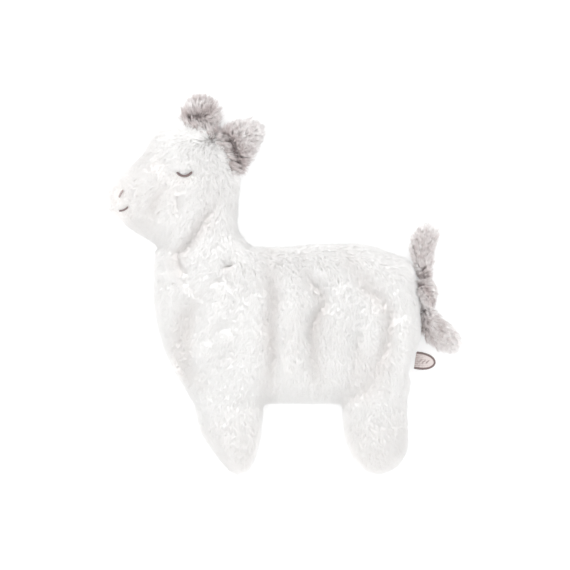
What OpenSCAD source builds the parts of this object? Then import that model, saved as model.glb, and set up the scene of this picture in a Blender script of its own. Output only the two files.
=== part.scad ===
// Flat plush alpaca comforter, lying on its back panel. Millimetres, +Z up.
// +X points to the tail, +Y to the ears, and z = 0 is the surface it lies on.

/* [Thickness] */
// Height of the torso's crown
torso_h = 30; // [26:1:34]
// Height of the head's crown
head_h = 38; // [32:1:42]
// Height of each leg's crown
leg_h = 24; // [20:1:28]
// Thickness of the ears
ear_h = 16; // [14:1:18]
// Thickness of the tail's two free ends
tail_h = 12; // [10:1:13]
// Height of the tail's knot
knot_h = 22; // [18:1:26]

/* [Fabric] */
// Depth of one plush panel, backing and pressed pile together
panel_t = 3.5; // [2.5:0.5:4]
// Width of the two panels' edge between the seam and the wadding
seam_w = 4.5; // [3.5:0.5:5]
// Play between the wadding and the panels
wadding_gap = 0.2; // [0.1:0.1:0.5]

/* [Folds] */
// Clearance on each side of a fold line
fold_gap = 0.3; // [0.2:0.1:0.5]
// How far a face draws in at a fold of the white body
edge_in = 5; // [4.8:0.1:5.6]
// How far a face draws in at an ear's fold
ear_edge_in = 3.6; // [3.4:0.1:4.2]
// How far a face draws in at a fold of the tail
tail_edge_in = 3.1; // [2.9:0.1:3.4]
// Fold line between torso and neck, in Y
neck_y = 36; // [34:1:38]
// Fold line of both legs, in Y
leg_y = -100; // [-102:1:-98]
// Fold line between the knot and the tail's upper end, in Y
tail_up_y = 3; // [2:0.5:4]
// Fold line between the knot and the tail's lower end, in Y
tail_low_y = -19; // [-20:0.5:-18]

/* [Embroidery] */
// Thickness of an embroidered stroke
stroke_d = 2; // [1.4:0.2:2.4]
// Radius of the closed eye's arc
eye_r = 8; // [7:0.5:9]
// Angle that the eye's arc covers
eye_sweep = 100; // [80:5:120]

/* [Label] */
// Width of the woven label along the seam
label_w = 15; // [12:1:16]
// How far the folded label stands out
label_l = 17.5; // [15:0.5:20]
// Thickness of one leaf of the folded label
leaf_t = 0.6; // [0.5:0.1:0.8]
// Tilt of the label from square, in degrees
label_tilt = 8; // [0:1:12]

/* [Closing seam] */
// Number of hand stitches that close the turning gap
stitch_count = 10; // [6:1:12]
// Distance between the hand stitches
stitch_pitch = 4; // [3:0.5:4.5]
// Thickness of the closing thread
thread_d = 0.8; // [0.6:0.1:1]

/* [Hidden] */

white = "whitesmoke";
mauve = "rosybrown";
fill = "gainsboro";
thread = "dimgray";

seam_z = ear_h / 2;      // perimeter seam and fold axes of the white body
tail_seam_z = tail_h / 2; // the same for the tail
steps = 4;               // points on each stretch between two outline points
low_crown = [[0.45, 0.93], [0.8, 0.8], [1, 0.62]];
round_crown = [[0.25, 0.93], [0.5, 0.84], [0.75, 0.72], [1, 0.5]];
knot_crown = [[0.6, 0.85], [1, 0.5]];

// One point of a smooth curve through b and c, with a and d beside them
function between(a, b, c, d, t) = 0.5 * (2 * b + (c - a) * t
    + (2 * a - 5 * b + 4 * c - d) * t * t + (3 * b - a - 3 * c + d) * t * t * t);

// A smooth open curve through all points
function curve(p) = let (last = len(p) - 1) concat(
    [for (i = [0 : last - 1], j = [0 : steps - 1])
        between(p[max(i - 1, 0)], p[i], p[i + 1], p[min(i + 2, last)], j / steps)],
    [p[last]]);

// A level is [height, scale about the piece's centre]; its ring is the outline at that level
function ring(piece, level) = [for (q = piece[0])
    concat(piece[1] + (q - piece[1]) * level[1], [level[0]])];

function rings(piece, levels) = [for (level = levels) ring(piece, level)];

// The scale that draws the fold edges of a piece in by the distance d
function drawn_in(piece, d) = 1 - d / piece[2];

// Levels of a crown that rises from the height low to the height high
function crown(low, high, profile, base) = [for (s = profile)
    [low + s[0] * (high - low), s[1] * base]];

function face_levels(piece, h, profile) = let (face = drawn_in(piece, edge_in)) concat(
    [[seam_z, 1], [2 * seam_z, face]],
    crown(2 * seam_z, h, profile, face));

// Levels of the hollow under a face, from the seam up
inner_top = 2 * seam_z - panel_t;
function inner_scale(piece, gap) = drawn_in(piece, seam_w + gap)
    * drawn_in(piece, edge_in * (inner_top - seam_z) / seam_z);
function hollow_levels(piece, h, profile, gap) = concat(
    [[seam_z, drawn_in(piece, seam_w + gap)], [inner_top - gap, inner_scale(piece, gap)]],
    crown(inner_top - gap, h - panel_t - gap, profile, inner_scale(piece, gap)));

function reversed(list) = [for (i = [len(list) - 1 : -1 : 0]) list[i]];

// A closed solid through a stack of rings that all have the same number of points
module stack(r) {
    n = len(r[0]);
    last = len(r) - 1;
    polyhedron(
        points = [for (one = r) each one],
        faces = concat(
            [for (k = [0 : last - 1], i = [0 : n - 1])
                [k * n + i, (k + 1) * n + i, (k + 1) * n + (i + 1) % n]],
            [for (k = [0 : last - 1], i = [0 : n - 1])
                [k * n + i, (k + 1) * n + (i + 1) % n, k * n + (i + 1) % n]],
            [[for (i = [0 : n - 1]) i]],
            [[for (i = [n - 1 : -1 : 0]) last * n + i]]));
}

module front_panel(piece, h, profile) {
    stack(rings(piece, concat(reversed(hollow_levels(piece, h, profile, 0)),
        face_levels(piece, h, profile))));
}

module back_panel(piece) {
    stack(rings(piece, [[0, drawn_in(piece, edge_in)], [seam_z, 1],
        [seam_z, drawn_in(piece, seam_w)], [panel_t, inner_scale(piece, 0)]]));
}

module wadding(piece, h, profile) {
    stack(rings(piece, concat([[panel_t + wadding_gap, inner_scale(piece, wadding_gap)]],
        hollow_levels(piece, h, profile, wadding_gap))));
}

// Unfilled pieces: two thick panels that meet at the height of their seam
module upper_half(piece, middle, h, d) {
    stack(rings(piece, [[middle, 1], [h, drawn_in(piece, d)]]));
}

module lower_half(piece, middle, d) {
    stack(rings(piece, [[0, drawn_in(piece, d)], [middle, 1]]));
}

// Each piece is [outline, centre, distance from the centre to the nearest fold line].
// Outlines run counter-clockwise, and their last stretch is a fold line.

// Chest, straight belly with both leg folds, rump, back and neck fold
torso = [concat(
    curve([[-105, neck_y - fold_gap], [-107, -10], [-99, -50], [-82, -84],
        [-76, leg_y + fold_gap]]),
    curve([[104, leg_y + fold_gap], [107, -72], [111, -38], [108, 2], [101.5, 18],
        [84, 26.5], [62, 33], [30, 34], [0, 32], [-24, 32], [-34, neck_y - fold_gap]])),
    [0, -34], 66];

// Nape, the two ear folds, forehead, nose, chin and throat
head = [concat(
    curve([[-34, neck_y + fold_gap], [-41, 50], [-40, 70], [-39, 90]]),
    [[-55, 126], [-58, 129]],
    curve([[-88, 138], [-104, 129], [-118, 106], [-137, 88], [-146, 76], [-143, 60],
        [-128, 50], [-105, neck_y + fold_gap]])),
    [-90, 88], 48];

foreleg = [
    curve([[-76, leg_y - fold_gap], [-71, -120], [-56, -142], [-48, -153], [-39, -158.5],
        [-31, -153], [-22, -122], [-18, leg_y - fold_gap]]),
    [-44, -124], 24];

hindleg = [
    curve([[48, leg_y - fold_gap], [51, -119], [59, -141], [69, -154], [80, -157.5],
        [92, -152], [100, -140], [103.5, -120], [104, leg_y - fold_gap]]),
    [78, -126], 26];

// The ears' fold lines run along the head's edge, a gap away from it
left_ear = [
    curve([[-57.6, 130], [-56, 140], [-59, 151], [-71, 157.5], [-80, 154], [-85, 146],
        [-87.6, 138.7]]),
    [-71, 145], 10];

right_ear = [
    curve([[-38.2, 90.6], [-29.5, 106], [-20, 124], [-23, 134], [-32, 137], [-44, 134.5],
        [-50, 132], [-54.2, 126.4]]),
    [-36, 120], 14];

knot = [concat(
    [[112.5, tail_low_y + fold_gap]],
    curve([[122, tail_low_y + fold_gap], [127, -12], [127, -4], [124, tail_up_y - fold_gap]]),
    [[111.5, tail_up_y - fold_gap]]),
    [119, -8], 10.7];

upper_tail = [
    curve([[124, tail_up_y + fold_gap], [122.5, 15], [125, 27], [129.5, 38], [126.5, 46.5],
        [115, 47.5], [107.5, 40], [105.5, 25], [111.5, tail_up_y + fold_gap]]),
    [117, 26], 22.7];

lower_tail = [
    curve([[112.5, tail_low_y - fold_gap], [113.5, -38], [122, -50.5], [136, -57.5],
        [145.5, -53], [146, -41.5], [136, -33], [125, -27], [122, tail_low_y - fold_gap]]),
    [121, -36], 16.7];

module torso_front_panel() {
    color(white) front_panel(torso, torso_h, low_crown);
}

module torso_back_panel() {
    color(white) back_panel(torso);
}

module torso_wadding() {
    color(fill) wadding(torso, torso_h, low_crown);
}

// Slanted hand stitches over the belly seam, between the legs
module closing_stitches() {
    stitch_l = 5;
    first_x = 16 - stitch_pitch * (stitch_count - 1) / 2;
    color(white)
        for (i = [0 : stitch_count - 1])
            translate([first_x + i * stitch_pitch, leg_y + fold_gap - thread_d / 2, seam_z])
                rotate([0, 20, 0])
                    cylinder(h = stitch_l, d = thread_d, center = true, $fn = 24);
}

module head_front_panel() {
    color(white) front_panel(head, head_h, round_crown);
}

module head_back_panel() {
    color(white) back_panel(head);
}

module head_wadding() {
    color(fill) wadding(head, head_h, round_crown);
}

// An embroidered stroke that is an arc, hanging from its centre
module arc_stroke(r, sweep) {
    rotate([0, 0, 270 - sweep / 2])
        rotate_extrude(angle = sweep, $fn = 96)
            translate([r, 0]) circle(d = stroke_d, $fn = 24);
}

module straight_stroke(l) {
    rotate([90, 0, 0]) cylinder(h = l, d = stroke_d, center = true, $fn = 24);
}

// The closed eye, at the height z of the thread's middle
module eye(z) {
    color(thread) translate([-83, 89 + eye_r, z]) arc_stroke(eye_r, eye_sweep);
}

// The nostril's stroke, lying on the muzzle at the tilt given
module nostril(z, tilt) {
    color(thread) translate([-137, 75.5, z]) rotate([0, 0, -30]) rotate([0, tilt, 0])
        straight_stroke(7);
}

// The small smile, lying on the muzzle at the tilt given
module mouth(z, tilt) {
    color(thread) translate([-134.5, 62, z]) rotate([0, tilt, 20])
        translate([0, 10, 0]) arc_stroke(10, 48);
}

module front_eye() { eye(head_h + 0.2); }
module front_nostril() { nostril(25, -50); }
module front_mouth() { mouth(23.8, -40); }
module back_eye() { eye(stroke_d / 2); }
module back_nostril() { nostril(stroke_d / 2, 0); }
module back_mouth() { mouth(stroke_d / 2, 0); }

module foreleg_front_panel() {
    color(white) front_panel(foreleg, leg_h, low_crown);
}

module foreleg_back_panel() {
    color(white) back_panel(foreleg);
}

module foreleg_wadding() {
    color(fill) wadding(foreleg, leg_h, low_crown);
}

module hindleg_front_panel() {
    color(white) front_panel(hindleg, leg_h, low_crown);
}

module hindleg_back_panel() {
    color(white) back_panel(hindleg);
}

module hindleg_wadding() {
    color(fill) wadding(hindleg, leg_h, low_crown);
}

module left_ear_front_panel() { color(mauve) upper_half(left_ear, seam_z, ear_h, ear_edge_in); }
module left_ear_back_panel() { color(mauve) lower_half(left_ear, seam_z, ear_edge_in); }
module right_ear_front_panel() { color(mauve) upper_half(right_ear, seam_z, ear_h, ear_edge_in); }
module right_ear_back_panel() { color(mauve) lower_half(right_ear, seam_z, ear_edge_in); }

module upper_tail_front_panel() {
    color(mauve) upper_half(upper_tail, tail_seam_z, tail_h, tail_edge_in);
}

module upper_tail_back_panel() { color(mauve) lower_half(upper_tail, tail_seam_z, tail_edge_in); }

module lower_tail_front_panel() {
    color(mauve) upper_half(lower_tail, tail_seam_z, tail_h, tail_edge_in);
}

module lower_tail_back_panel() { color(mauve) lower_half(lower_tail, tail_seam_z, tail_edge_in); }

// The knot, with the tab that is sewn between the torso's two panels
module tail_knot() {
    tab = [8, 12, 1.6];
    side = drawn_in(knot, tail_edge_in);
    color(mauve) {
        stack(rings(knot, concat([[0, side], [tail_seam_z, 1], [tail_h, side]],
            crown(tail_h, knot_h, knot_crown, side))));
        translate([106, -14, seam_z - tab.z / 2]) cube(tab);
    }
}

// A ribbon folded in half: two leaves that meet in a round fold at the outer end
module woven_label() {
    fold_r = leaf_t * 1.25;
    color(thread) translate([109.5, -64, seam_z]) rotate([0, 0, -label_tilt])
        intersection() {
            union() {
                for (side = [-1, 1])
                    translate([0, -label_w / 2, side * (fold_r - leaf_t / 2) - leaf_t / 2])
                        cube([label_l - fold_r, label_w, leaf_t]);
                translate([label_l - fold_r, 0, 0]) rotate([90, 0, 0])
                    difference() {
                        cylinder(h = label_w, r = fold_r, center = true, $fn = 24);
                        cylinder(h = label_w + 1, r = fold_r - leaf_t, center = true, $fn = 24);
                        translate([-fold_r, 0, 0])
                            cube([2 * fold_r, 2 * fold_r, label_w + 1], center = true);
                    }
            }
            // the corners are rounded off to a half oval
            translate([2, 0, -2]) union() {
                cylinder(h = 4, r = label_w / 2, $fn = 64);
                translate([-4, -label_w / 2, 0]) cube([label_l - 5, label_w, 4]);
                translate([label_l - 9.5, 0, 0]) cylinder(h = 4, r = label_w / 2, $fn = 64);
            }
        }
}

torso_front_panel();
torso_back_panel();
torso_wadding();
closing_stitches();
head_front_panel();
head_back_panel();
head_wadding();
front_eye();
front_nostril();
front_mouth();
back_eye();
back_nostril();
back_mouth();
foreleg_front_panel();
foreleg_back_panel();
foreleg_wadding();
hindleg_front_panel();
hindleg_back_panel();
hindleg_wadding();
left_ear_front_panel();
left_ear_back_panel();
right_ear_front_panel();
right_ear_back_panel();
tail_knot();
upper_tail_front_panel();
upper_tail_back_panel();
lower_tail_front_panel();
lower_tail_back_panel();
woven_label();
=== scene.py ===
"""Looks of a flat plush alpaca comforter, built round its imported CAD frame.

Lengths are millimetres until a mesh is made. +X points to the tail, +Y to the ears, +Z up.
"""
import math

import bmesh
import bpy
import numpy as np
from mathutils import Matrix, Vector
from mathutils.bvhtree import BVHTree
from mathutils.kdtree import KDTree


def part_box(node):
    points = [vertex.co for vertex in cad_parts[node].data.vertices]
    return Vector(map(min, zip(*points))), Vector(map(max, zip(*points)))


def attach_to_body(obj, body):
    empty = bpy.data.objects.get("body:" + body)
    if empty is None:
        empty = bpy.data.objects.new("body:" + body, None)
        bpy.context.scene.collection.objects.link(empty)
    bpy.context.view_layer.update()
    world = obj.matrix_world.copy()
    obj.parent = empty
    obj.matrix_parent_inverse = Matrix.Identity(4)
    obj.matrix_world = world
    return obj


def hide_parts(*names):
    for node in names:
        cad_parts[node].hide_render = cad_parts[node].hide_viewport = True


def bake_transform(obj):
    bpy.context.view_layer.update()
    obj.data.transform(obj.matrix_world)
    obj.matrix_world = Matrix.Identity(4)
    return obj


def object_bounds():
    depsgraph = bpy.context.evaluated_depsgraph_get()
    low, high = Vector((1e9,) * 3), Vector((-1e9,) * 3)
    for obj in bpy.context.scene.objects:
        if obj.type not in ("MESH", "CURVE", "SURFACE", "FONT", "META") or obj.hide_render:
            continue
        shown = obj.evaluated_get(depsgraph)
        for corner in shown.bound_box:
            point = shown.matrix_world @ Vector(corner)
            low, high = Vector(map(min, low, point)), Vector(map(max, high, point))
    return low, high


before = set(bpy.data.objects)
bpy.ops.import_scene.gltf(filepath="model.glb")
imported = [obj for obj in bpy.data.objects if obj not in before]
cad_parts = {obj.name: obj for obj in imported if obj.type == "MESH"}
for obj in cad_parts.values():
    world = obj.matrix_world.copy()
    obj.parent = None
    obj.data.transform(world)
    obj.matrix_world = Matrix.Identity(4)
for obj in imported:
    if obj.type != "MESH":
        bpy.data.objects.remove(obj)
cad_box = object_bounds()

MM = 0.001
UV_NAME = "OFBake"  # u is a strand's tint, v runs from its root to its tip
random = np.random.default_rng(7)


# -------- fields seen from above

GRID = 1.0   # spacing of the grid's points
MARGIN = 15  # how far the grid reaches past the CAD box
low, high = (np.array(corner) / MM for corner in cad_box)
xs = np.arange(low[0] - MARGIN, high[0] + MARGIN, GRID)
ys = np.arange(low[1] - MARGIN, high[1] + MARGIN, GRID)
grid_x, grid_y = np.meshgrid(xs, ys, indexing="ij")


def sample(field, x, y):
    """The field's value at each point, between the grid's points."""
    i = np.clip((x - xs[0]) / GRID, 0, len(xs) - 1.001)
    j = np.clip((y - ys[0]) / GRID, 0, len(ys) - 1.001)
    a, b = i.astype(int), j.astype(int)
    s, t = i - a, j - b
    return ((1 - s) * ((1 - t) * field[a, b] + t * field[a, b + 1])
            + s * ((1 - t) * field[a + 1, b] + t * field[a + 1, b + 1]))


def blur(field, sigma):
    """A field smoothed over sigma millimetres."""
    reach = int(3 * sigma / GRID) + 1
    kernel = np.exp(-0.5 * (np.arange(-reach, reach + 1) * GRID / sigma) ** 2)
    kernel /= kernel.sum()

    def smooth(row):
        return np.convolve(np.pad(row, reach, mode="edge"), kernel, mode="valid")

    for axis in (0, 1):
        field = np.apply_along_axis(smooth, axis, field)
    return field


def footprint(node):
    """1 on the grid where a CAD node lies, seen from above, and 0 elsewhere."""
    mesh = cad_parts[node].data
    mesh.calc_loop_triangles()
    corners = np.array([[mesh.vertices[v].co[:2] for v in t.vertices]
                        for t in mesh.loop_triangles]) / MM
    covered = np.zeros(grid_x.shape, bool)
    for a, b, c in corners:
        area = (b[0] - a[0]) * (c[1] - a[1]) - (b[1] - a[1]) * (c[0] - a[0])
        if abs(area) < 1e-6:
            continue
        near = np.min([a, b, c], axis=0)
        far = np.max([a, b, c], axis=0)
        i = slice(*np.searchsorted(xs, [near[0], far[0] + 1e-9]))
        j = slice(*np.searchsorted(ys, [near[1], far[1] + 1e-9]))
        x, y = grid_x[i, j], grid_y[i, j]
        u = ((b[0] - x) * (c[1] - y) - (b[1] - y) * (c[0] - x)) / area
        v = ((c[0] - x) * (a[1] - y) - (c[1] - y) * (a[0] - x)) / area
        covered[i, j] |= (u >= 0) & (v >= 0) & (u + v <= 1)
    return covered.astype(float)


def edge_distance(mask):
    """Distance from a footprint's edge on the whole grid, positive inside."""
    inside = blur(mask, 1.5) > 0.5
    core = inside.copy()
    for shift in ((1, 0), (-1, 0), (0, 1), (0, -1)):
        core &= np.roll(inside, shift, (0, 1))
    border = inside & ~core
    bx, by = grid_x[border].astype(np.float32), grid_y[border].astype(np.float32)
    px, py = grid_x.ravel().astype(np.float32), grid_y.ravel().astype(np.float32)
    distance = np.empty(px.size, np.float32)
    batch = 4000
    for k in range(0, px.size, batch):
        part = slice(k, k + batch)
        square = (px[part, None] - bx) ** 2 + (py[part, None] - by) ** 2
        distance[part] = np.sqrt(square.min(axis=1))
    distance = distance.reshape(grid_x.shape)
    return blur(np.where(inside, distance, -distance), 1.2)


def smooth_noise(sigma):
    """Seeded noise without detail finer than sigma, with a spread of 1."""
    field = blur(random.normal(size=grid_x.shape), sigma)
    return field / field.std()


def curve(points, steps=6):
    """Points along a smooth line through the given ones."""
    p = np.array(points, float)
    p = np.vstack([2 * p[0] - p[1], p, 2 * p[-1] - p[-2]])
    t = np.linspace(0, 1, steps, endpoint=False)[:, None]
    spans = [0.5 * (2 * b + (c - a) * t + (2 * a - 5 * b + 4 * c - d) * t ** 2
                    + (3 * b - a - 3 * c + d) * t ** 3)
             for a, b, c, d in zip(p[:-3], p[1:-2], p[2:-1], p[3:])]
    return np.vstack(spans + [p[-2:-1]])


def near_line(x, y, line):
    """Distance to a line, and the place along it from 0 to 1."""
    best = np.full(np.shape(x), np.inf)
    place = np.zeros(np.shape(x))
    for k, (a, b) in enumerate(zip(line[:-1], line[1:])):
        d = b - a
        t = np.clip(((x - a[0]) * d[0] + (y - a[1]) * d[1]) / (d @ d), 0, 1)
        away = np.hypot(x - a[0] - t * d[0], y - a[1] - t * d[1])
        closer = away < best
        best = np.where(closer, away, best)
        place = np.where(closer, (k + t) / (len(line) - 1), place)
    return best, place


def between(value, start, end):
    """0 before start and 1 beyond end, whichever of the two is larger."""
    return np.clip((value - start) / (end - start), 0, 1)


def rise(depth, width):
    """From 0 at an edge to 1 where the padding is full, round as a pillow's edge."""
    t = np.clip(depth / width, 0, 1)
    return np.sqrt(1 - (1 - t) ** 2)


# -------- meshes and materials

MIX_FIRST, MIX_SECOND, MIX_RESULT = 6, 7, 2  # the colour sockets of a Mix node


def add_object(name, data):
    """Puts a mesh, light or camera into the scene as an object."""
    obj = bpy.data.objects.new(name, data)
    bpy.context.scene.collection.objects.link(obj)
    return obj


def new_object(name, points, faces):
    mesh = bpy.data.meshes.new(name)
    mesh.from_pydata(np.asarray(points) * MM, [], faces)
    return add_object(name, mesh)


def from_shell(name, shell):
    """Turns a bmesh into an object."""
    mesh = bpy.data.meshes.new(name)
    shell.to_mesh(mesh)
    shell.free()
    return add_object(name, mesh)


def read_vectors(collection, key):
    values = np.empty(len(collection) * 3, np.float32)
    collection.foreach_get(key, values)
    return values.reshape(-1, 3).astype(float)


def points_of(obj):
    return read_vectors(obj.data.vertices, "co") / MM


def normals_of(obj):
    return read_vectors(obj.data.vertex_normals, "vector")


def set_points(obj, points):
    obj.data.vertices.foreach_set("co", (points * MM).astype(np.float32).ravel())
    obj.data.update()


def apply_modifiers(obj):
    graph = bpy.context.evaluated_depsgraph_get()
    mesh = bpy.data.meshes.new_from_object(obj.evaluated_get(graph))
    obj.modifiers.clear()
    obj.data = mesh
    return obj


def smooth_shaded(obj):
    obj.data.polygons.foreach_set("use_smooth", np.ones(len(obj.data.polygons), bool))
    obj.data.update()
    return obj


def remeshed(obj, voxel, smoothing=0):
    """Gives a body even faces of size voxel, and smooths it a number of times."""
    remesh = obj.modifiers.new("Remesh", "REMESH")
    remesh.mode = "VOXEL"
    remesh.voxel_size = voxel * MM
    soften = obj.modifiers.new("Smooth", "SMOOTH")
    soften.factor = 0.5
    soften.iterations = smoothing
    return smooth_shaded(apply_modifiers(obj))


def plump(name, depth, top, bottom, voxel=2.5):
    """A closed, evenly meshed body between two height fields, where depth is positive."""
    inside = (depth[:-1, :-1] > 0) & (depth[1:, :-1] > 0)
    inside &= (depth[:-1, 1:] > 0) & (depth[1:, 1:] > 0)
    i, j = np.nonzero(inside)
    wide = len(ys)
    count = grid_x.size
    a, b, c, d = i * wide + j, (i + 1) * wide + j, (i + 1) * wide + j + 1, i * wide + j + 1
    faces = [np.stack([a, b, c, d], 1) + count, np.stack([d, c, b, a], 1)]
    padded_in = np.pad(inside, 1)
    for di, dj, first, second in ((0, -1, a, b), (1, 0, b, c), (0, 1, c, d), (-1, 0, d, a)):
        open_side = ~padded_in[i + 1 + di, j + 1 + dj]
        p, q = first[open_side], second[open_side]
        faces.append(np.stack([p, q, q + count, p + count], 1))
    faces = np.vstack(faces)
    points = np.vstack([np.stack([grid_x.ravel(), grid_y.ravel(), z.ravel()], 1)
                        for z in (bottom, top)])
    used, faces = np.unique(faces, return_inverse=True)
    obj = new_object(name, points[used], faces.reshape(-1, 4).tolist())
    return remeshed(obj, voxel, smoothing=6)


def swell(obj, cap):
    """Fills a cloth body with pressure, and lets no point move further than cap.

    The outline is already that of the filled body, so it follows only by the share sideways.
    """
    pressure, frames, sideways = 4, 20, 0.2
    before = points_of(obj)
    cloth = obj.modifiers.new("Cloth", "CLOTH")
    cloth.settings.quality = 5
    cloth.settings.use_pressure = True
    cloth.settings.uniform_pressure_force = pressure
    cloth.settings.effector_weights.gravity = 0
    cloth.collision_settings.use_collision = False
    cloth.point_cache.frame_start = 1
    cloth.point_cache.frame_end = frames
    for number in range(1, frames + 1):
        bpy.context.scene.frame_set(number)
    apply_modifiers(obj)
    bpy.context.scene.frame_set(1)
    move = (points_of(obj) - before) * (sideways, sideways, 1)
    far = np.linalg.norm(move, axis=1, keepdims=True)
    set_points(obj, before + move * np.minimum(1, cap / np.maximum(far, 1e-9)))
    return smooth_shaded(obj)


def node_material(name):
    """A new material, a function that links sockets, its shader, and one that adds nodes.

    add(kind, ...) sets a node's inputs and properties by name, or links a socket to an input.
    """
    material = bpy.data.materials.new(name)
    material.use_nodes = True
    tree = material.node_tree
    shader = tree.nodes["Principled BSDF"]

    def add(kind, **values):
        node = tree.nodes.new(kind)
        for key, value in values.items():
            if isinstance(value, bpy.types.NodeSocket):
                tree.links.new(value, node.inputs[key])
            elif key in node.inputs:
                node.inputs[key].default_value = value
            else:
                setattr(node, key, value)
        return node

    return material, tree.links.new, shader, add


def ramp(add, stops, factor):
    """The colour that a factor socket picks from a ramp through (position, colour) stops."""
    node = add("ShaderNodeValToRGB", Fac=factor)
    node.color_ramp.interpolation = "B_SPLINE"
    elements = node.color_ramp.elements
    while len(elements) < len(stops):
        elements.new(0.5)
    for element, (position, colour) in zip(elements, stops):
        element.position = position
        element.color = (*colour, 1)
    return node.outputs["Color"]


def finish_cloth(link, shader, add, colour, height, strength, depth, roughness):
    """Sets a shader's colour, its relief from a height, depth millimetres deep, and its gloss."""
    bump = add("ShaderNodeBump", Strength=strength, Distance=depth * MM, Height=height)
    link(colour, shader.inputs["Base Color"])
    link(bump.outputs["Normal"], shader.inputs["Normal"])
    shader.inputs["Roughness"].default_value = roughness


def fur_material(name, deep, pale):
    """Pile that changes from root to tip, between a deep and a pale set of stops."""
    material, link, shader, add = node_material(name)
    uv = add("ShaderNodeUVMap", uv_map=UV_NAME)
    split = add("ShaderNodeSeparateXYZ", Vector=uv.outputs["UV"])
    mix = add("ShaderNodeMix", data_type="RGBA", Factor=split.outputs["X"])
    for stops, socket in ((deep, MIX_FIRST), (pale, MIX_SECOND)):
        link(ramp(add, stops, split.outputs["Y"]), mix.inputs[socket])
    link(mix.outputs[MIX_RESULT], shader.inputs["Base Color"])
    shader.inputs["Roughness"].default_value = 0.8
    shader.inputs["Sheen Weight"].default_value = 0.3
    shader.inputs["Sheen Roughness"].default_value = 0.5
    return material


def cloth_material(name, colour, dark, pitch=0.6):
    """Knitted backing cloth: fine loops in relief, with a slow drift in tone."""
    material, link, shader, add = node_material(name)
    place = add("ShaderNodeTexCoord").outputs["Object"]
    drift = add("ShaderNodeTexNoise", Vector=place, Scale=60.0, Detail=3.0)
    tones = ramp(add, [(0.35, dark), (0.65, colour)], drift.outputs["Fac"])
    loops = add("ShaderNodeTexVoronoi", Vector=place, Scale=1 / (pitch * MM))
    finish_cloth(link, shader, add, tones, loops.outputs["Distance"], strength=0.6, depth=0.2,
                 roughness=0.9)
    return material


# -------- pile

def unit(v):
    return v / np.maximum(np.linalg.norm(v, axis=-1, keepdims=True), 1e-9)


def scatter(skin, density):
    """Seeded random roots on a skin, with its normals; density is strands per square mm."""
    mesh = skin.data
    mesh.calc_loop_triangles()
    corners = np.empty(len(mesh.loop_triangles) * 3, np.int32)
    mesh.loop_triangles.foreach_get("vertices", corners)
    corners = corners.reshape(-1, 3)
    points, normals = points_of(skin), normals_of(skin)
    a, b, c = (points[corners[:, k]] for k in range(3))
    cross = np.cross(b - a, c - a)
    expected = np.linalg.norm(cross, axis=1) / 2 * density((a + b + c) / 3, unit(cross))
    chosen = random.choice(len(corners), int(expected.sum()), p=expected / expected.sum())
    u, v = random.random((2, len(chosen), 1))
    over = u + v > 1
    u, v = np.where(over, 1 - u, u), np.where(over, 1 - v, v)

    def blended(values):
        p, q, r = (values[corners[chosen, k]] for k in range(3))
        return p + u * (q - p) + v * (r - p)

    return blended(points), unit(blended(normals))


def grow(skin, density, length, comb, tint, lock, stray, lean, pull, patchy, uneven=1.0):
    """Curved strands gathered into locks: root, middle and tip points, normals and tints.

    comb gives the direction that the pile is brushed in; its size, 0 to 1, says how flat.
    About lock strands form one lock. They share its turn, of spread stray, and its length and
    lean, and pull draws their tips together. lean holds the angles from upright of a strand's
    lower and upper half. patchy is how much the tint differs from lock to lock, and uneven
    how much the length and the lean do.
    """
    root, normal = scatter(skin, density)
    count = len(root)
    flow = comb(root, normal)
    flow = flow - (flow * normal).sum(1, keepdims=True) * normal
    flat = np.clip(np.linalg.norm(flow, axis=1, keepdims=True), 0, 1)
    flow = unit(flow)
    leaders = random.choice(count, max(count // lock, 1), replace=False)  # one for each lock
    tree = KDTree(len(leaders))
    for place, leader in enumerate(leaders):
        tree.insert(root[leader], place)
    tree.balance()
    guide = leaders[[tree.find(p)[1] for p in root]]

    def shared(spread, own):
        """A random value of each lock, and a smaller one of each strand."""
        values = random.normal(0, spread, count)[guide] + random.normal(0, own, count)
        return values[:, None]

    turn = shared(stray, 0.2)
    size = length(root, normal)[:, None] * np.clip(1 + uneven * shared(0.12, 0.08), 0.6, 1.35)
    tilt = uneven * shared(0.12, 0.08)
    way = np.cos(turn) * flow + np.sin(turn) * np.cross(normal, flow)
    bend = [np.clip(angle * (0.35 + 0.65 * flat) + tilt, 0.05, 1.5) for angle in lean]
    middle = root + size / 2 * (np.cos(bend[0]) * normal + np.sin(bend[0]) * way)
    tip = middle + size / 2 * (np.cos(bend[1]) * normal + np.sin(bend[1]) * way)
    draw = pull * (0.7 + 0.5 * random.random((count, 1)))
    middle = middle + draw * 0.3 * (middle[guide] - middle)
    tip = tip + draw * (tip[guide] - tip)
    least = 0.3 + 0.7 * random.random(count)
    for points in (middle, tip):  # none goes into the table
        points[:, 2] = np.maximum(points[:, 2], least)
    shade = np.clip(tint(root, normal) + shared(patchy, 0.06)[:, 0], 0.03, 0.97)
    return root, normal, middle, tip, shade


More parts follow.
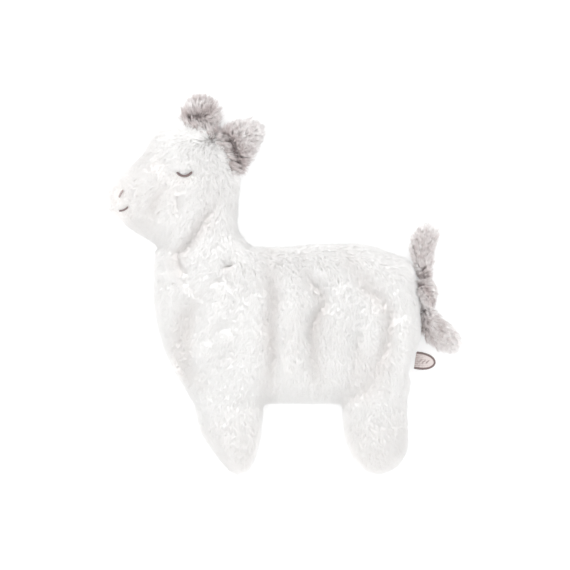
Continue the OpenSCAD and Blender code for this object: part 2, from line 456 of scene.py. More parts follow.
def strand_mesh(name, strands, material, width, keep=slice(None)):
    """One closed, tapered, three-sided body for each kept strand, as a single mesh."""
    root, normal, middle, tip, tint = (values[keep] for values in strands)
    count = len(root)
    buried = 0.6
    base = root - buried * normal
    first, second = unit(middle - base), unit(tip - middle)
    across = unit(np.cross(first, normal) + 1e-4)
    twist = random.random((count, 1)) * 2 * math.pi
    rings = []
    for centre, axis, radius in ((base, first, width / 2),
                                 (middle, unit(first + second), width * 0.42)):
        over = np.cross(axis, across)
        for k in range(3):
            angle = twist + k * 2 * math.pi / 3
            rings.append(centre + radius * (np.cos(angle) * across + np.sin(angle) * over))
    points = np.stack(rings + [tip], axis=1).reshape(-1, 3)
    faces = [(0, 1, 4, 3), (1, 2, 5, 4), (2, 0, 3, 5), (3, 4, 6), (4, 5, 6), (5, 3, 6), (0, 2, 1)]
    corners = np.concatenate(faces)
    sizes = [len(face) for face in faces]
    per_strand = 7
    loops = (corners + per_strand * np.arange(count)[:, None]).ravel()
    totals = np.tile(sizes, count)
    mesh = bpy.data.meshes.new(name)
    mesh.vertices.add(len(points))
    mesh.vertices.foreach_set("co", (points * MM).astype(np.float32).ravel())
    mesh.loops.add(len(loops))
    mesh.loops.foreach_set("vertex_index", loops.astype(np.int32))
    mesh.polygons.add(len(totals))
    mesh.polygons.foreach_set("loop_start", (np.cumsum(totals) - totals).astype(np.int32))
    mesh.update(calc_edges=True)
    mesh.polygons.foreach_set("use_smooth", np.ones(len(totals), bool))
    along = np.array([0.02, 0.02, 0.02, 0.5, 0.5, 0.5, 0.98])[corners]
    aside = np.array([-0.02, 0, 0.02, -0.02, 0, 0.02, 0])[corners]
    uv = np.empty((count, len(corners), 2), np.float32)
    uv[..., 0] = tint[:, None] + aside
    uv[..., 1] = along
    mesh.uv_layers.new(name=UV_NAME).data.foreach_set("uv", uv.ravel())
    mesh.materials.append(material)
    mesh.validate()
    return add_object(name, mesh)


# -------- camera, light and floor

def look_down():
    """A long lens straight above the toy, with its ears towards the top of the picture."""
    height, lens = 1340, 100
    data = bpy.data.cameras.new("camera")
    data.lens = lens
    data.sensor_width = 36
    data.clip_end = 20
    camera = add_object("camera", data)
    camera.location = (0, -0.8 * MM, height * MM)
    bpy.context.scene.camera = camera


def light():
    """An even white surround, with a large soft light above the nose's side."""
    world = bpy.data.worlds.new("studio")
    bpy.context.scene.world = world
    world.use_nodes = True
    background = world.node_tree.nodes["Background"]
    background.inputs["Color"].default_value = (1, 1, 1, 1)
    background.inputs["Strength"].default_value = 1.87
    data = bpy.data.lights.new("key", "AREA")
    data.shape = "SQUARE"
    data.size = 0.9
    data.energy = 4.5
    key = add_object("key", data)
    key.location = (-0.7, 0.4, 1.2)
    key.rotation_euler = (-key.location).to_track_quat("-Z", "Y").to_euler()
    bpy.context.scene.view_settings.view_transform = "Standard"
    bpy.context.scene.cycles.max_bounces = 16
    bpy.context.scene.cycles.diffuse_bounces = 14


def floor():
    half = 3000
    obj = new_object("floor", [(-half, -half, 0), (half, -half, 0), (half, half, 0),
                               (-half, half, 0)], [(0, 1, 2, 3)])
    material, link, shader, add = node_material("pale_floor")
    shader.inputs["Base Color"].default_value = (0.45, 0.45, 0.45, 1)
    shader.inputs["Roughness"].default_value = 1.0
    shader.inputs["Specular IOR Level"].default_value = 0.0
    shader.inputs["Emission Color"].default_value = (1, 1, 1, 1)
    shader.inputs["Emission Strength"].default_value = 0.5
    obj.data.materials.append(material)


look_down()
light()
floor()


# -------- how the pieces hang together

SEAM_Z = 8            # height of the white body's seam and of its fold axes
TAIL_SEAM_Z = 6       # the same for the tail
NECK_CUT = 24         # the neck's cloth begins here, in Y
NAPE_CUT = -26        # and reaches this far towards the tail, in X
LEG_CUT = -88         # the legs' cloth begins here, in Y
FORELEG_END = -14     # the foreleg's cloth ends here, in X
HINDLEG_START = 46    # the hindleg's cloth begins here, in X
EAR_REACH = 5         # how far an ear's bend reaches to both sides of its fold line

LEFT_EAR_FOLD = ((-88.0, 138.4), (-57.7, 129.2))
RIGHT_EAR_FOLD = ((-54.8, 126.9), (-38.3, 90.2))
EARS_MEET = (-56, 128)
LABEL_BASE = (109.5, -64.0)  # the middle of the label's edge in the seam
LABEL_TURN = -8              # degrees about Z
LABEL_WIDTH = 15
LABEL_LENGTH = 17.5          # folded
LABEL_STRAIGHT = 4           # how much of the length is straight before the half oval


def fold_frame(line):
    """The middle of a fold line, and the direction away from the head square to it."""
    a, b = (np.array(p) for p in line)
    away = np.array([(b - a)[1], -(b - a)[0]]) / np.linalg.norm(b - a)
    return (a + b) / 2, -away


def ear_bend(line):
    """An ear's bend, square across its fold line."""
    centre, away = fold_frame(line)
    return ("head", (*(centre - EAR_REACH * away), SEAM_Z), (*(centre + EAR_REACH * away), SEAM_Z))


BENDS = {  # body: (body that it bends from, start and end of the bend)
    "head": ("torso", (0, 26, SEAM_Z), (0, 48, SEAM_Z)),
    "foreleg": ("torso", (0, -90, SEAM_Z), (0, -112, SEAM_Z)),
    "hindleg": ("torso", (0, -90, SEAM_Z), (0, -112, SEAM_Z)),
    "upper_tail": ("torso", (118, -2, TAIL_SEAM_Z), (118, 8, TAIL_SEAM_Z)),
    "lower_tail": ("torso", (117.5, -14, TAIL_SEAM_Z), (117.5, -24, TAIL_SEAM_Z)),
    "left_ear": ear_bend(LEFT_EAR_FOLD),
    "right_ear": ear_bend(RIGHT_EAR_FOLD),
}
REGIONS = {  # body: whether a point of the white cloth belongs to it; the rest is the torso's
    "head": lambda x, y: (y > NECK_CUT) & (x < NAPE_CUT),
    "foreleg": lambda x, y: (y < LEG_CUT) & (x < FORELEG_END),
    "hindleg": lambda x, y: (y < LEG_CUT) & (x > HINDLEG_START),
}


def region_of(points):
    """The name of the white body that each point belongs to."""
    names = np.full(len(points), "torso", dtype=object)
    for name, test in REGIONS.items():
        names[test(points[:, 0], points[:, 1])] = name
    return names


def attach(obj, body, replaced=()):
    """Hangs a finished piece on its body's empty; a piece of a body listed in BENDS instead gets
    its transform baked into its mesh.

    replaced names the CAD nodes that the piece stands for.
    """
    if body in BENDS:
        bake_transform(obj)
    else:
        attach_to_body(obj, body)
    if replaced:
        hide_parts(*replaced)
    return obj


# -------- the white body

PILE = 5            # how far the pile stands off the backing cloth
BACKING = 1.2       # thickness of the backing cloth
WHITE_WIDTH = 0.25  # width of a strand at its root
UNDER_Z = 2         # the backing cloth's height over the table
SKIN_INSET = 4.0    # how far the backing's edge stays inside the pressed pile's
TIP_INSET = 1.5     # the same at the feet and the nose, where the pile stands out less
BELLY_INSET = 5.5   # and along the belly, where it hangs over
BELLY_X = 16        # the belly's middle, between the legs
FRONT_SPREAD = 3    # how much further out the backing reaches down the face and the chest
RUMP_SPREAD = 2.5   # and at the rump, where the pile laps the edge of the tail
MUZZLE_DROP = 9     # how much flatter the cloth is at the nose than its CAD solid
CHIN_Y = 65         # the forehead's pile is turned by the nose only above this
FACE_BOTTOM = 30    # all of the face is above this, in Y
RIM = 26            # how far in from the edge the upper side of the cloth levels out
UNDER_RIM = 9       # the same for the lower side
WHITE_BODIES = ("torso", "head", "foreleg", "hindleg")

# Soft folds of the front panel: points along each, depth (a ridge is negative) and width
FOLDS = [
    ([(-60, 69), (-66, 56), (-80, 33), (-86, 26), (-83, 6)], 7.5, 7),
    ([(-74, -8), (-82, -30), (-83, -50), (-80, -66), (-70, -80)], 7.5, 10),
    ([(-17, 25), (-11, 2), (-9, -14), (-12, -32), (-9, -56), (-15, -97)], 6, 9),
    ([(8, 17), (26, -2), (31, -14), (22, -32), (21, -50), (29, -82)], 5, 9),
    ([(42, 25), (65, 3), (80, -14), (87, -28), (80, -58), (65, -84), (45, -96)], 5.5, 9),
    ([(60, -34), (58, -60), (51, -84)], 3.5, 8),
    ([(-47, 20), (-47, 14)], 6, 5),
    ([(-52, 10), (-57, 0)], 3.5, 4),
    ([(-44, 8), (-45, -4)], 3.5, 4),
    ([(-38, 10), (-55, -22), (-70, -60)], -4, 8),
    ([(-68, -58), (-55, -50), (-42, -38)], -3.5, 6),
    ([(11, -8), (8, -40), (4, -76)], -3.5, 9),
    ([(46, 4), (48, -30), (44, -62)], -3.5, 9),
    ([(96, 2), (99, -30), (94, -66)], -3, 8),
    ([(-54, -96), (-38, -99), (-22, -97)], 1, 8),
    ([(66, -90), (76, -86), (90, -80)], 1.5, 8),
    ([(-106, 104), (-96, 92)], 2.5, 10),
    ([(-94, 86), (-102, 72), (-109, 58)], 4, 7),
    ([(-86, 84), (-87, 56)], 3, 6),
]


FRONT, BACK = "_front_panel", "_back_panel"  # the ends of the CAD panels' names


def node_top(node):
    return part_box(node)[1][2] / MM


def body_fields():
    """Depth inside the white body's outline, and the height of its crown everywhere."""
    masks = {body: footprint(body + BACK) for body in WHITE_BODIES}
    heights = sum(mask * node_top(body + FRONT) for body, mask in masks.items())
    total = sum(masks.values())
    crown = blur(heights, 12) / np.maximum(blur(total, 12), 1e-3)
    crown -= MUZZLE_DROP * between(grid_x, -104, -134) * (grid_y > FACE_BOTTOM)
    return edge_distance(np.minimum(total, 1)), crown


def fold_height(x, y):
    """How far the folds lift the front panel: below zero in a valley, and a little beside it."""
    height = np.zeros(np.shape(x))
    for points, depth, width in FOLDS:
        away, place = near_line(x, y, curve(points))
        fade = np.sqrt(np.clip(np.sin(math.pi * np.clip(place, 0.02, 0.98)), 0, 1))
        height -= depth * fade * (np.exp(-(away / width) ** 2)
                                  - 0.15 * np.exp(-((away - 2 * width) / width) ** 2))
    return height


white_edge, crown = body_fields()
lumps = smooth_noise(9)
fold_field = fold_height(grid_x, grid_y)
out_x, out_y = np.gradient(-blur(white_edge, 5), GRID)
# Places where the backing's edge lies further in or out: 1 there and 0 elsewhere
feet = between(grid_y, -112, -137)
nose = between(grid_x, -112, -132)
belly = between(grid_y, -70, -90) * (1 - feet) * (np.abs(grid_x - BELLY_X) < 34)
front_edge = between(grid_x, -55, -75) * between(grid_y, -100, -80)
front_edge *= np.clip(-out_x, 0, 1)
rump_edge = between(grid_x, 85, 95) * between(grid_y, 30, 15)
rump_edge *= between(grid_y, -55, -43) * np.clip(out_x, 0, 1)
skin_depth = (white_edge - SKIN_INSET + (SKIN_INSET - TIP_INSET) * (feet + nose)
              + FRONT_SPREAD * front_edge + RUMP_SPREAD * rump_edge
              - (BELLY_INSET - SKIN_INSET) * blur(belly, 3))
skin_top = SEAM_Z + (crown - PILE - SEAM_Z) * rise(skin_depth, RIM)
skin_bottom = SEAM_Z - (SEAM_Z - UNDER_Z) * rise(skin_depth, UNDER_RIM)
white_skin = plump("white_skin", skin_depth, skin_top, skin_bottom)
swell(white_skin, cap=3)


def shape_folds(obj):
    """Presses the folds and a slight unevenness into the upper side of the white cloth."""
    points, normals = points_of(obj), normals_of(obj)
    x, y = points[:, 0], points[:, 1]
    upper = between(points[:, 2], SEAM_Z, SEAM_Z + 8) * np.clip(normals[:, 2] + 0.4, 0, 1)
    points[:, 2] += upper * (sample(fold_field, x, y) + 0.7 * sample(lumps, x, y))
    points[:, 2] = np.maximum(points[:, 2], UNDER_Z * 0.6)
    set_points(obj, points)


shape_folds(white_skin)
white_tree = BVHTree.FromObject(white_skin, bpy.context.evaluated_depsgraph_get())


def cloth_height(x, y, upper=True):
    """Height of the white backing's front or back face at a place, or beside it."""
    start = Vector((x * MM, y * MM, 0.2 if upper else -0.2))
    hit = white_tree.ray_cast(start, Vector((0, 0, -1 if upper else 1)))[0]
    if hit is None:
        hit = white_tree.find_nearest(Vector((x, y, SEAM_Z)) * MM)[0]
    return hit.z / MM


# Embroidered strokes of the face: points along each, and its width
EYE = ([(-89.0, 92.0), (-86.5, 89.7), (-82.8, 88.7), (-79.2, 89.7), (-76.6, 92.0)], 2.0)
NOSTRIL = ([(-134.6, 78.2), (-136.4, 75.6), (-138.2, 72.2)], 1.8)
MOUTH = ([(-138.4, 61.0), (-135.6, 61.2), (-132.8, 62.2), (-130.2, 64.2)], 1.5)
fur_noise = [smooth_noise(12), smooth_noise(12), smooth_noise(16)]
valley_x, valley_y = np.gradient(blur(fold_field, 2), GRID)


def near_stitches(x, y):
    """1 beside the embroidery, where it holds the pile down, and 0 a centimetre away."""
    near = np.zeros(np.shape(x))
    for points, _ in (EYE, NOSTRIL, MOUTH):
        near = np.maximum(near, np.clip(1.3 - near_line(x, y, curve(points))[0] / 7, 0, 1))
    return near


def near_label(x, y):
    """1 at the seam beside the label, where the pile is short, and 0 away from it."""
    turn = math.radians(LABEL_TURN)
    right, up = x - LABEL_BASE[0], y - LABEL_BASE[1]
    out = right * math.cos(turn) + up * math.sin(turn)
    aside = np.abs(up * math.cos(turn) - right * math.sin(turn))
    edge = LABEL_WIDTH / 2
    return between(out, -10, -7) * (1 - between(aside, edge + 1, edge + 4))


def flat_field(x, y, fields):
    """Level directions whose X and Y parts are two fields' values at each point."""
    return np.stack([sample(fields[0], x, y), sample(fields[1], x, y), 0 * x], 1)


def at_edge(depth_field, x, y, width):
    """1 at the edge of a depth field, fading inwards with a reach of width."""
    return np.exp(-np.clip(sample(depth_field, x, y), 0, None) / width)


def body_comb(points, normals):
    """Brushed down the body, off the folds' ridges, and turning outward at its upper edge.

    The turn is by the nose over the forehead and by the tail elsewhere, so the pile parts
    only where the ears' seam covers it.
    """
    x, y = points[:, 0], points[:, 1]
    close = at_edge(skin_depth, x, y, 7)
    outward = flat_field(x, y, (out_x, out_y))
    nap = unit(np.stack([0.3 * x / 100 - 0.1, -0.8 + 0 * x, 0 * x], 1))
    against = np.clip(-(nap * outward).sum(1), 0, 1) * close
    way = np.maximum(np.tanh((x - EARS_MEET[0]) / 8), np.tanh((CHIN_Y - y) / 8))
    turn = way * against * math.radians(130)
    turned = np.stack([np.cos(turn) * nap[:, 0] - np.sin(turn) * nap[:, 1],
                       np.sin(turn) * nap[:, 0] + np.cos(turn) * nap[:, 1], 0 * x], 1)
    eddies = flat_field(x, y, fur_noise)
    downhill = -flat_field(x, y, (valley_x, valley_y))
    flow = turned + 0.6 * (close - against)[:, None] * outward + 0.2 * eddies + 0.15 * downhill
    rim = np.exp(-(np.clip(sample(skin_depth, x, y), 0, None) / 3) ** 2)
    flat = np.clip(0.92 + 0.08 * sample(fur_noise[2], x, y), 0.7, 1) * (1 - 0.6 * rim)
    return unit(flow) * flat[:, None]


def near_ears(x, y):
    """1 on the ears' seam, above the white head, and 0 a few millimetres away."""
    line = curve([(-80, 134), (-68, 130), (-58, 124), (-51, 115), (-43, 97)])
    return np.clip(1.3 - near_line(x, y, line)[0] / 5.5, 0, 1)


def body_density(points, normals):
    """Strands per square mm: few underneath, and more there on the bodies that fold up."""
    covered = 1 - 0.6 * near_ears(points[:, 0], points[:, 1])
    under = np.where(region_of(points) == "torso", 0.9, 2.6)
    return np.where(normals[:, 2] > -0.4, 5.6 * covered, under)


def body_length(points, normals):
    """Shorter on the muzzle, the toes and the back, and beside the stitches and the label."""
    x, y = points[:, 0], points[:, 1]
    muzzle = between(x, -112, -136) * (y > FACE_BOTTOM)
    toes = between(y, -125, -155)
    underneath = normals[:, 2] < -0.3
    full = 9.5 - 3.5 * muzzle - 2 * toes - 2 * underneath
    return full * (1 - 0.68 * near_stitches(x, y)) * (1 - 0.85 * near_label(x, y))


def body_tint(points, normals):
    """Painted shade, warmer and darker, in the folds' valleys, and a little over the nose and the
    face's left edge under the key light; the legs are a little darker too.
    """
    x, y = points[:, 0], points[:, 1]
    # painted shade: hollow darkens the pile on the upper side of the folds' valleys
    hollow = np.clip(-sample(fold_field, x, y) / 5, 0, 1) * (normals[:, 2] > 0)
    # painted shade over the nose and the face's left edge, holding them down where the key light
    # falls hardest
    painted_brow_shade = sample(front_edge, x, y) * at_edge(skin_depth, x, y, 10)
    painted_nose_shade = np.maximum(between(x, -92, -122), painted_brow_shade) * between(y, FACE_BOTTOM, FACE_BOTTOM + 20)
    legs = between(y, -96, -116)
    return (0.9 - 0.58 * hollow - 0.3 * painted_nose_shade - 0.22 * legs
            + 0.05 * sample(fur_noise[2], x, y))


# The deep white stops are painted shade: the colour of the pile in the folds' valleys and over the
# nose, darkest at the root.
WHITE_PAINTED_SHADE = [(0.0, (0.62, 0.56, 0.54)), (0.5, (0.86, 0.82, 0.8)), (1.0, (0.94, 0.92, 0.905))]
WHITE_PALE = [(0.0, (0.96, 0.955, 0.945)), (0.4, (0.98, 0.977, 0.97)), (1.0, (0.99, 0.987, 0.98))]
white_pile = fur_material("white_pile", WHITE_PAINTED_SHADE, WHITE_PALE)
# The backing cloth's grey is painted shade: it stands for the pile's shade over the bare cloth.
white_backing = cloth_material("white_backing", (0.82, 0.8, 0.785), (0.74, 0.72, 0.705))
fibre = cloth_material("loose_fibre", (0.9, 0.9, 0.89), (0.78, 0.78, 0.77), pitch=2)


def cut_out(source, name, wanted):
    """The part of a skin that belongs to one body, with its open ends closed."""
    shell = bmesh.new()
    shell.from_mesh(source.data)
    shell.faces.ensure_lookup_table()
    centres = np.array([f.calc_center_median() for f in shell.faces]) / MM
    lost = [f for f, keep in zip(shell.faces, region_of(centres) == wanted) if not keep]
    bmesh.ops.delete(shell, geom=lost, context="FACES")
    bmesh.ops.holes_fill(shell, edges=[e for e in shell.edges if e.is_boundary], sides=0)
    return smooth_shaded(from_shell(name, shell))


def filling(skin, body):
    """The loose fibre inside a cover: the cover's own shape, a backing's thickness smaller."""
    obj = skin.copy()
    obj.data = skin.data.copy()
    obj.name = body + "_filling"
    bpy.context.scene.collection.objects.link(obj)
    set_points(obj, points_of(obj) - BACKING * normals_of(obj))
    obj.data.materials.clear()
    obj.data.materials.append(fibre)
    attach(obj, body, [body + "_wadding"])


def white_body():
    strands = grow(white_skin, body_density, body_length, body_comb, body_tint,
                   lock=14, stray=0.12, lean=(1.1, 1.43), pull=0.1, patchy=0.05, uneven=0.28)
    roots = strands[0]
    regions = region_of(roots)
    for body in WHITE_BODIES:
        skin = cut_out(white_skin, body + "_cover", body)
        skin.data.materials.append(white_backing)
        filling(skin, body)
        attach(skin, body, [body + FRONT, body + BACK])
        pile = strand_mesh(body + "_pile", strands, white_pile, WHITE_WIDTH, regions == body)
        attach(pile, body)


white_body()


# -------- ears, knot and tail

# The deep mauve stops are the pile's own darker tone, and along the partings they carry painted
# shade.
MAUVE_DEEP = [(0.0, (0.14, 0.09, 0.085)), (0.45, (0.44, 0.36, 0.35)), (1.0, (0.68, 0.61, 0.6))]
MAUVE_PALE = [(0.0, (0.62, 0.57, 0.56)), (0.45, (0.9, 0.875, 0.865)), (1.0, (0.97, 0.96, 0.955))]
MAUVE_WIDTH = 0.32  # width of a strand at its root
LOBE_PILE = 3       # how far the pile of an ear or a tail end stands off its cloth
mauve_pile = fur_material("mauve_pile", MAUVE_DEEP, MAUVE_PALE)
mauve_backing = cloth_material("mauve_backing", (0.3, 0.24, 0.24), (0.2, 0.15, 0.15))

# Lines that the pile parts along, on each ear and each tail end
LEFT_PARTINGS = [[(-84, 140), (-75, 140.5), (-65, 142)], [(-76, 150), (-69, 151), (-62, 148)]]
RIGHT_PARTINGS = [[(-51, 125), (-44, 119), (-40.5, 110), (-38, 99)]]
UPPER_PARTINGS = [[(112, -4), (114.5, 2), (116, 6)]]
LOWER_PARTINGS = [[(113, -16), (114.5, -28), (118, -40)]]


def parting_field(lines):
    """Nearness to the partings, and the direction away from the nearest one."""
    best = np.full(grid_x.shape, np.inf)
    for line in lines:
        best = np.minimum(best, near_line(grid_x, grid_y, curve(line))[0])
    away_x, away_y = np.gradient(blur(best, 1), GRID)
    return best, away_x, away_y


def lobe(name, root, seam, inset, partings, nap, length, tip, spread, reach):
    """A flat, unfilled lobe of mauve plush whose pile parts along its creases.

    The lobe is its CAD panels' outline and root, where it is held. nap is the direction that
    the pile is brushed in, spread how much it turns outward at the edge, reach how far the
    partings turn it, and tip the place, with its radius, where the pile is palest.
    """
    edge = edge_distance(np.maximum(footprint(name + BACK), root))
    parted, away_x, away_y = parting_field(partings)
    depth = edge - inset
    half = (node_top(name + FRONT) / 2 - LOBE_PILE) * rise(depth, 7)
    hollow = 2 * np.exp(-(parted / 3) ** 2)
    skin = plump(name + "_cover", depth, seam + half - hollow, seam - half, voxel=1.6)
    skin.data.materials.append(mauve_backing)
    edge_x, edge_y = np.gradient(-blur(edge, 2), GRID)

    def comb(points, normals):
        x, y = points[:, 0], points[:, 1]
        close = np.exp(-(sample(parted, x, y) / reach) ** 2)[:, None]
        off = flat_field(x, y, (away_x, away_y))
        outward = flat_field(x, y, (edge_x, edge_y))
        flow = nap(x, y) + 1.3 * close * off + spread * outward
        return unit(flow) * (0.95 - 0.25 * close)

    def tint(points, normals):
        x, y = points[:, 0], points[:, 1]
        # painted shade: the pile is darker along the partings, in the creases where it parts
        pale = 0.5 - 0.4 * np.exp(-(sample(parted, x, y) / 3) ** 2)
        pale = pale + 0.35 * at_edge(edge, x, y, 3)
        return pale + 0.5 * np.clip(1 - np.hypot(x - tip[0], y - tip[1]) / tip[2], 0, 1)

    strands = grow(skin, lambda p, n: np.where(n[:, 2] > -0.3, 8.0, 1.5), even(length), comb,
                   tint, lock=14, stray=0.2, lean=(0.85, 1.3), pull=0.5, patchy=0.18)
    attach(skin, name, [name + FRONT, name + BACK])
    attach(strand_mesh(name + "_pile", strands, mauve_pile, MAUVE_WIDTH), name)


def even(value):
    """A density, length or tint that is the same everywhere."""
    return lambda points, normals: np.full(len(points), float(value))


def straight(dx, dy):
    """A nap that is the same everywhere."""
    return lambda x, y: np.array([dx, dy, 0]) + np.zeros((len(x), 3))


def fan(centre, away):
    """A nap that fans out from a fold line over the ear, and back over the head behind it."""
    def nap(x, y):
        right, up = x - centre[0], y - centre[1]
        turn = np.clip((right * away[0] + up * away[1]) / 4, -1, 1)[:, None]
        return turn * np.array([*away, 0]) + 0.5 * (np.stack([right, up, 0 * x], 1) / 25)

    return nap


def ears():
    for name, fold, partings, tip in (
            ("left_ear", LEFT_EAR_FOLD, LEFT_PARTINGS, (-80, 160, 20)),
            ("right_ear", RIGHT_EAR_FOLD, RIGHT_PARTINGS, (-20, 138, 28))):
        centre, away = fold_frame(fold)
        half = 0.36 * (np.array(fold[1]) - fold[0])
        line = np.array([centre - half, centre + half])
        root = near_line(grid_x, grid_y, line)[0] < 5
        lobe(name, root, SEAM_Z, 2.5, partings, fan(centre, away), length=8.5, tip=tip,
             spread=0.55, reach=6.0)


def ear_roots():
    """Mauve strands along the ears' seam, and between them, that lie over the white head."""
    def density(points, normals):
        return 5.0 * near_ears(points[:, 0], points[:, 1]) * (normals[:, 2] > 0)

    def comb(points, normals):
        return np.array([-0.5, -0.75, 0]) + np.zeros(points.shape)

    strands = grow(white_skin, density, even(12), comb, even(0.3), lock=10, stray=0.4,
                   lean=(0.5, 1.0), pull=0.75, patchy=0.25)
    attach(strand_mesh("ear_seam_pile", strands, mauve_pile, 0.36), "head")


def tail_ends():
    for name, join, partings, nap, tip in (
            ("upper_tail", (116, 1), UPPER_PARTINGS, straight(0.15, 1), (121, 48, 16)),
            ("lower_tail", (116, -17), LOWER_PARTINGS, straight(0.75, -0.65), (146, -50, 22))):
        root = np.hypot(grid_x - join[0], grid_y - join[1]) < 5.5
        lobe(name, root, TAIL_SEAM_Z, 2.2, partings, nap, length=7.5, tip=tip, spread=0.3,
             reach=4.0)


def ellipsoids(name, parts, voxel):
    """One closed skin round overlapping ellipsoids: (centre, half axes, degrees about Z)."""
    shell = bmesh.new()
    for centre, half, turn in parts:
        place = (Matrix.Translation(Vector(centre) * MM)
                 @ Matrix.Rotation(math.radians(turn), 4, "Z")
                 @ Matrix.Diagonal((*(h * MM for h in half), 1)))
        bmesh.ops.create_uvsphere(shell, u_segments=32, v_segments=20, radius=1, matrix=place)
    return remeshed(from_shell(name, shell), voxel)


def knot():
    """The strip wound once round itself: a slanting band over the two ends it holds."""
    band = ((117, -8.5, 10), (10, 3.6, 6.5), -62)
    bulge = ((120, -6, 8.5), (3.8, 8, 5.5), 8)
    under = ((116, -8, 7), (4.5, 9.5, 4.5), 0)
    skin = ellipsoids("knot_cover", [band, bulge, under], 1.2)
    skin.data.materials.append(mauve_backing)
    slant = (0.47, -0.88)

    def comb(points, normals):
        side = (points[:, 0] - 118.5) * slant[1] - (points[:, 1] + 8) * slant[0]
        across = 0.12 * side[:, None] * np.array([slant[1], -slant[0], 0])
        return unit(np.array([*slant, 0]) + across) * 0.95

    def tint(points, normals):
        # painted shade: the pile is dark along a line down the slanting band, in the knot's crease
        away = near_line(points[:, 0], points[:, 1], curve([(115, -1), (118, -6), (122, -13)]))[0]
        return 0.65 - 0.6 * np.exp(-(away / 1.6) ** 2)

    strands = grow(skin, even(8), even(6), comb, tint, lock=12, stray=0.2, lean=(0.9, 1.35),
                   pull=0.4, patchy=0.12)
    attach(skin, "torso", ["tail_knot"])
    attach(strand_mesh("knot_pile", strands, mauve_pile, MAUVE_WIDTH), "torso")


ears()
ear_roots()
tail_ends()
knot()


# -------- threads and label

def thread_material(name, colour, shade):
    """Glossy rayon: fine lengthwise fibres in relief and in tone."""
    material, link, shader, add = node_material(name)
    place = add("ShaderNodeTexCoord").outputs["Object"]
    fibres = add("ShaderNodeTexNoise", Vector=place, Scale=900.0, Detail=3.0).outputs["Fac"]
    tones = ramp(add, [(0.35, shade), (0.65, colour)], fibres)
    finish_cloth(link, shader, add, tones, fibres, strength=0.4, depth=0.08, roughness=0.5)
    shader.inputs["Sheen Weight"].default_value = 0.2
    return material


def sweep(lines, radius, sides=6):
    """Points and faces of closed tubes, one along each line, rounded off at their ends."""
    points, faces = [], []
    angles = np.arange(sides) * 2 * math.pi / sides
    for line in lines:
        line = np.asarray(line, float)
        along = unit(np.gradient(line, axis=0))
        across = unit(np.cross(along, (0.02, 0.03, 1)))
        over = np.cross(across, along)
        start = len(points)
        for k, centre in enumerate(line):
            size = radius * (0.5 if k in (0, len(line) - 1) else 1)
            points.extend(centre + size * (math.cos(t) * across[k] + math.sin(t) * over[k])
                          for t in angles)
        last = len(points) - sides
        for ring in range(start, last, sides):
            for i in range(sides):
                j = (i + 1) % sides
                faces.append((ring + j, ring + i, ring + sides + i, ring + sides + j))
        faces.append(tuple(range(start, start + sides)))
        faces.append(tuple(reversed(range(last, last + sides))))
    return points, faces


def satin(path, width, pitch=0.42, bulge=0.7, slant=0.25):
    """Satin stitches: short threads laid side by side across a path, each one arched."""
    path = np.asarray(path, float)
    steps = np.linalg.norm(np.diff(path, axis=0), axis=1)
    travelled = np.concatenate([[0], np.cumsum(steps)])
    stations = np.arange(pitch / 2, travelled[-1], pitch)
    centres = np.stack([np.interp(stations, travelled, path[:, k]) for k in range(3)], 1)
    along = unit(np.gradient(centres, axis=0))
    side = unit(np.cross((0, 0, 1), along))
    lines = []
    for k, (centre, forward, across) in enumerate(zip(centres, along, side)):
        end = min(k + 1, len(centres) - k) * pitch / width
        half = width / 2 * min(1, 0.55 + 0.6 * end) * random.uniform(0.94, 1.06)
        lines.append([centre + half * t * (across + slant * forward)
                      + (0, 0, bulge * (1 - t * t)) for t in np.linspace(-1, 1, 7)])
    return lines


def stroke_on_cloth(points, lift, upper=True):
    """An embroidered stroke's middle line, lying on the cloth's front or back face."""
    line = curve(points, 5)
    heights = [cloth_height(x, y, upper) + (lift if upper else -lift) for x, y in line]
    return [(x, y, z) for (x, y), z in zip(line, heights)]


THREADS = {  # slot: its material
    "taupe_thread": thread_material("taupe_thread", (0.16, 0.115, 0.11), (0.11, 0.075, 0.07)),
    "pale_thread": thread_material("pale_thread", (0.36, 0.3, 0.29), (0.28, 0.225, 0.22)),
    "white_thread": thread_material("white_thread", (0.88, 0.87, 0.85), (0.78, 0.77, 0.75)),
}


def stitched(name, lines, radius, slot, body, nodes=()):
    """A piece made of lengths of thread, one along each line."""
    obj = smooth_shaded(new_object(name, *sweep(lines, radius)))
    obj.data.materials.append(THREADS[slot])
    return attach(obj, body, nodes)


def face():
    """The same embroidery on both sides; the front's stands on the pressed pile."""
    thread = 0.24
    for name, (points, width), slot in (
            ("eye", EYE, "taupe_thread"), ("nostril", NOSTRIL, "pale_thread"),
            ("mouth", MOUTH, "taupe_thread")):
        over = satin(stroke_on_cloth(points, 2.6), width)
        under = satin(stroke_on_cloth(points, 0.5, upper=False), width, bulge=-0.4)
        for side, lines in (("front_", over), ("back_", under)):
            stitched(side + name + "_satin", lines, thread, slot, "head", [side + name])


def closing_seam():
    """Ladder stitches that close the turning gap in the belly seam."""
    belly_xs = np.arange(-10, 42, 2.0)
    belly_ys = [min(y for y in np.arange(-101, -80, 0.25) if sample(skin_depth, x, y) > 0)
                for x in belly_xs]
    count, pitch = 10, 4
    slant, bulge, height = 1.6, 0.7, 4.4
    lines = []
    for k in range(count):
        x = BELLY_X + (k - (count - 1) / 2) * pitch
        y = np.interp(x, belly_xs, belly_ys)
        lines.append([(x + slant * (t - 0.5), y - 0.5 - bulge * math.sin(math.pi * t),
                       SEAM_Z + height * (t - 0.5)) for t in np.linspace(0, 1, 7)])
    stitched("closing_seam_thread", lines, 0.35, "white_thread", "torso",
             ["closing_stitches"])


def label_place(u, v):
    """A point of the label, u out from the seam and v along it, in the object's X and Y."""
    turn = math.radians(LABEL_TURN)
    return (LABEL_BASE[0] + u * math.cos(turn) - v * math.sin(turn),
            LABEL_BASE[1] + u * math.sin(turn) + v * math.cos(turn))


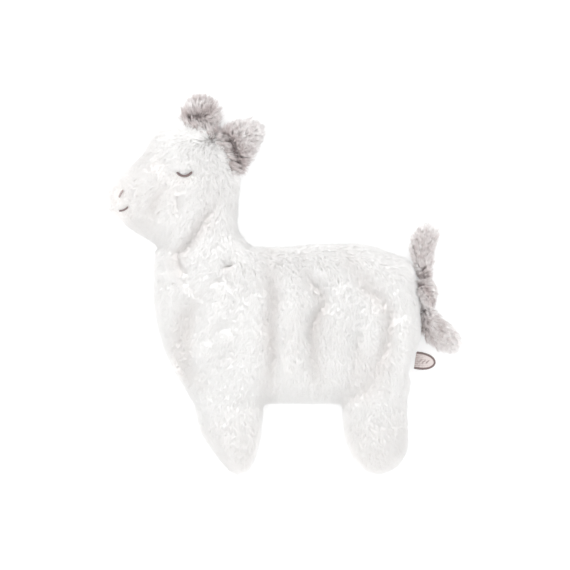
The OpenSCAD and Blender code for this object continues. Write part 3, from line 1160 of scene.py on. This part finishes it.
def label_edge(inset, count=40):
    """The label's half oval, from one end of the seam round to the other."""
    half = LABEL_WIDTH / 2 - inset
    reach = LABEL_LENGTH - inset - LABEL_STRAIGHT
    arc = np.linspace(-math.pi / 2, math.pi / 2, count)
    oval = [(LABEL_STRAIGHT + reach * math.cos(t), half * math.sin(t)) for t in arc]
    return [(0, -half)] + oval + [(0, half)]


def label_material():
    """Woven ribbon: fine ribs, a slight mottle, and a ground that pales away from the seam."""
    material, link, shader, add = node_material("woven_ribbon")
    place = add("ShaderNodeTexCoord").outputs["Object"]
    split = add("ShaderNodeSeparateXYZ", Vector=place)
    fade = add("ShaderNodeMapRange", Value=split.outputs["X"])
    fade.inputs["From Min"].default_value = (LABEL_BASE[0] + 2) * MM
    fade.inputs["From Max"].default_value = (LABEL_BASE[0] + 15) * MM
    ribs = add("ShaderNodeTexWave", Vector=place, Scale=1 / (2.6 * MM) / 2, Distortion=0.4,
               bands_direction="Y")
    mottle = add("ShaderNodeTexNoise", Vector=place, Scale=1 / (1.4 * MM), Detail=2.0)

    def weighted(value, weight, base):
        """value times weight, plus base."""
        node = add("ShaderNodeMath", operation="MULTIPLY_ADD")
        link(value, node.inputs[0])
        node.inputs[1].default_value = weight
        link(base, node.inputs[2])
        return node.outputs[0]

    weave = weighted(ribs.outputs["Fac"], 0.3, mottle.outputs["Fac"])
    tone = weighted(fade.outputs["Result"], 0.6, weave)
    tones = ramp(add, [(0.35, (0.16, 0.12, 0.115)), (1.0, (0.5, 0.45, 0.435))], tone)
    finish_cloth(link, shader, add, tones, weave, strength=0.5, depth=0.12, roughness=0.65)
    return material


def label():
    """Two leaves of ribbon, overlocked together round the edge, with three plain stitches."""
    leaf, gap, inset = 0.4, 0.15, 0.5
    edge = [label_place(u, v) for u, v in label_edge(inset)]
    shell = bmesh.new()
    for low_z in (SEAM_Z - gap - leaf, SEAM_Z + gap):
        corners = [shell.verts.new(Vector((x, y, low_z)) * MM) for x, y in edge]
        lower_face = shell.faces.new(corners)
        raised = bmesh.ops.extrude_face_region(shell, geom=[lower_face])["geom"]
        bmesh.ops.translate(shell, verts=[v for v in raised if isinstance(v, bmesh.types.BMVert)],
                            vec=(0, 0, leaf * MM))
    bmesh.ops.recalc_face_normals(shell, faces=shell.faces)
    obj = from_shell("label_ribbon", shell)
    obj.data.materials.append(label_material())
    attach(obj, "label", ["woven_label"])

    rim = np.array([(*label_place(u, v), SEAM_Z) for u, v in label_edge(inset=1.0)])
    places = np.linspace(0, len(rim) - 1, 90)
    path = np.stack([np.interp(places, np.arange(len(rim)), rim[:, k]) for k in range(3)], 1)
    whipped = []
    for bulge in (0.85, -0.85):
        whipped += satin(path, width=2.0, pitch=0.5, bulge=bulge, slant=0.3)
    border = stitched("label_overlock", whipped, 0.26, "taupe_thread", "label")

    stitches = []
    for middle in (4.5, 7.5, 10.5):
        ends = ((middle - 1.2, -1.6), (middle + 1.2, 1.6))
        path = [(*label_place(u, v), SEAM_Z + gap + leaf) for u, v in np.linspace(*ends, 6)]
        stitches += satin(path, width=0.9, pitch=0.4, bulge=0.2)
    mark = stitched("label_mark", stitches, 0.16, "pale_thread", "label")


face()
closing_seam()
label()
bpy.data.objects.remove(white_skin)
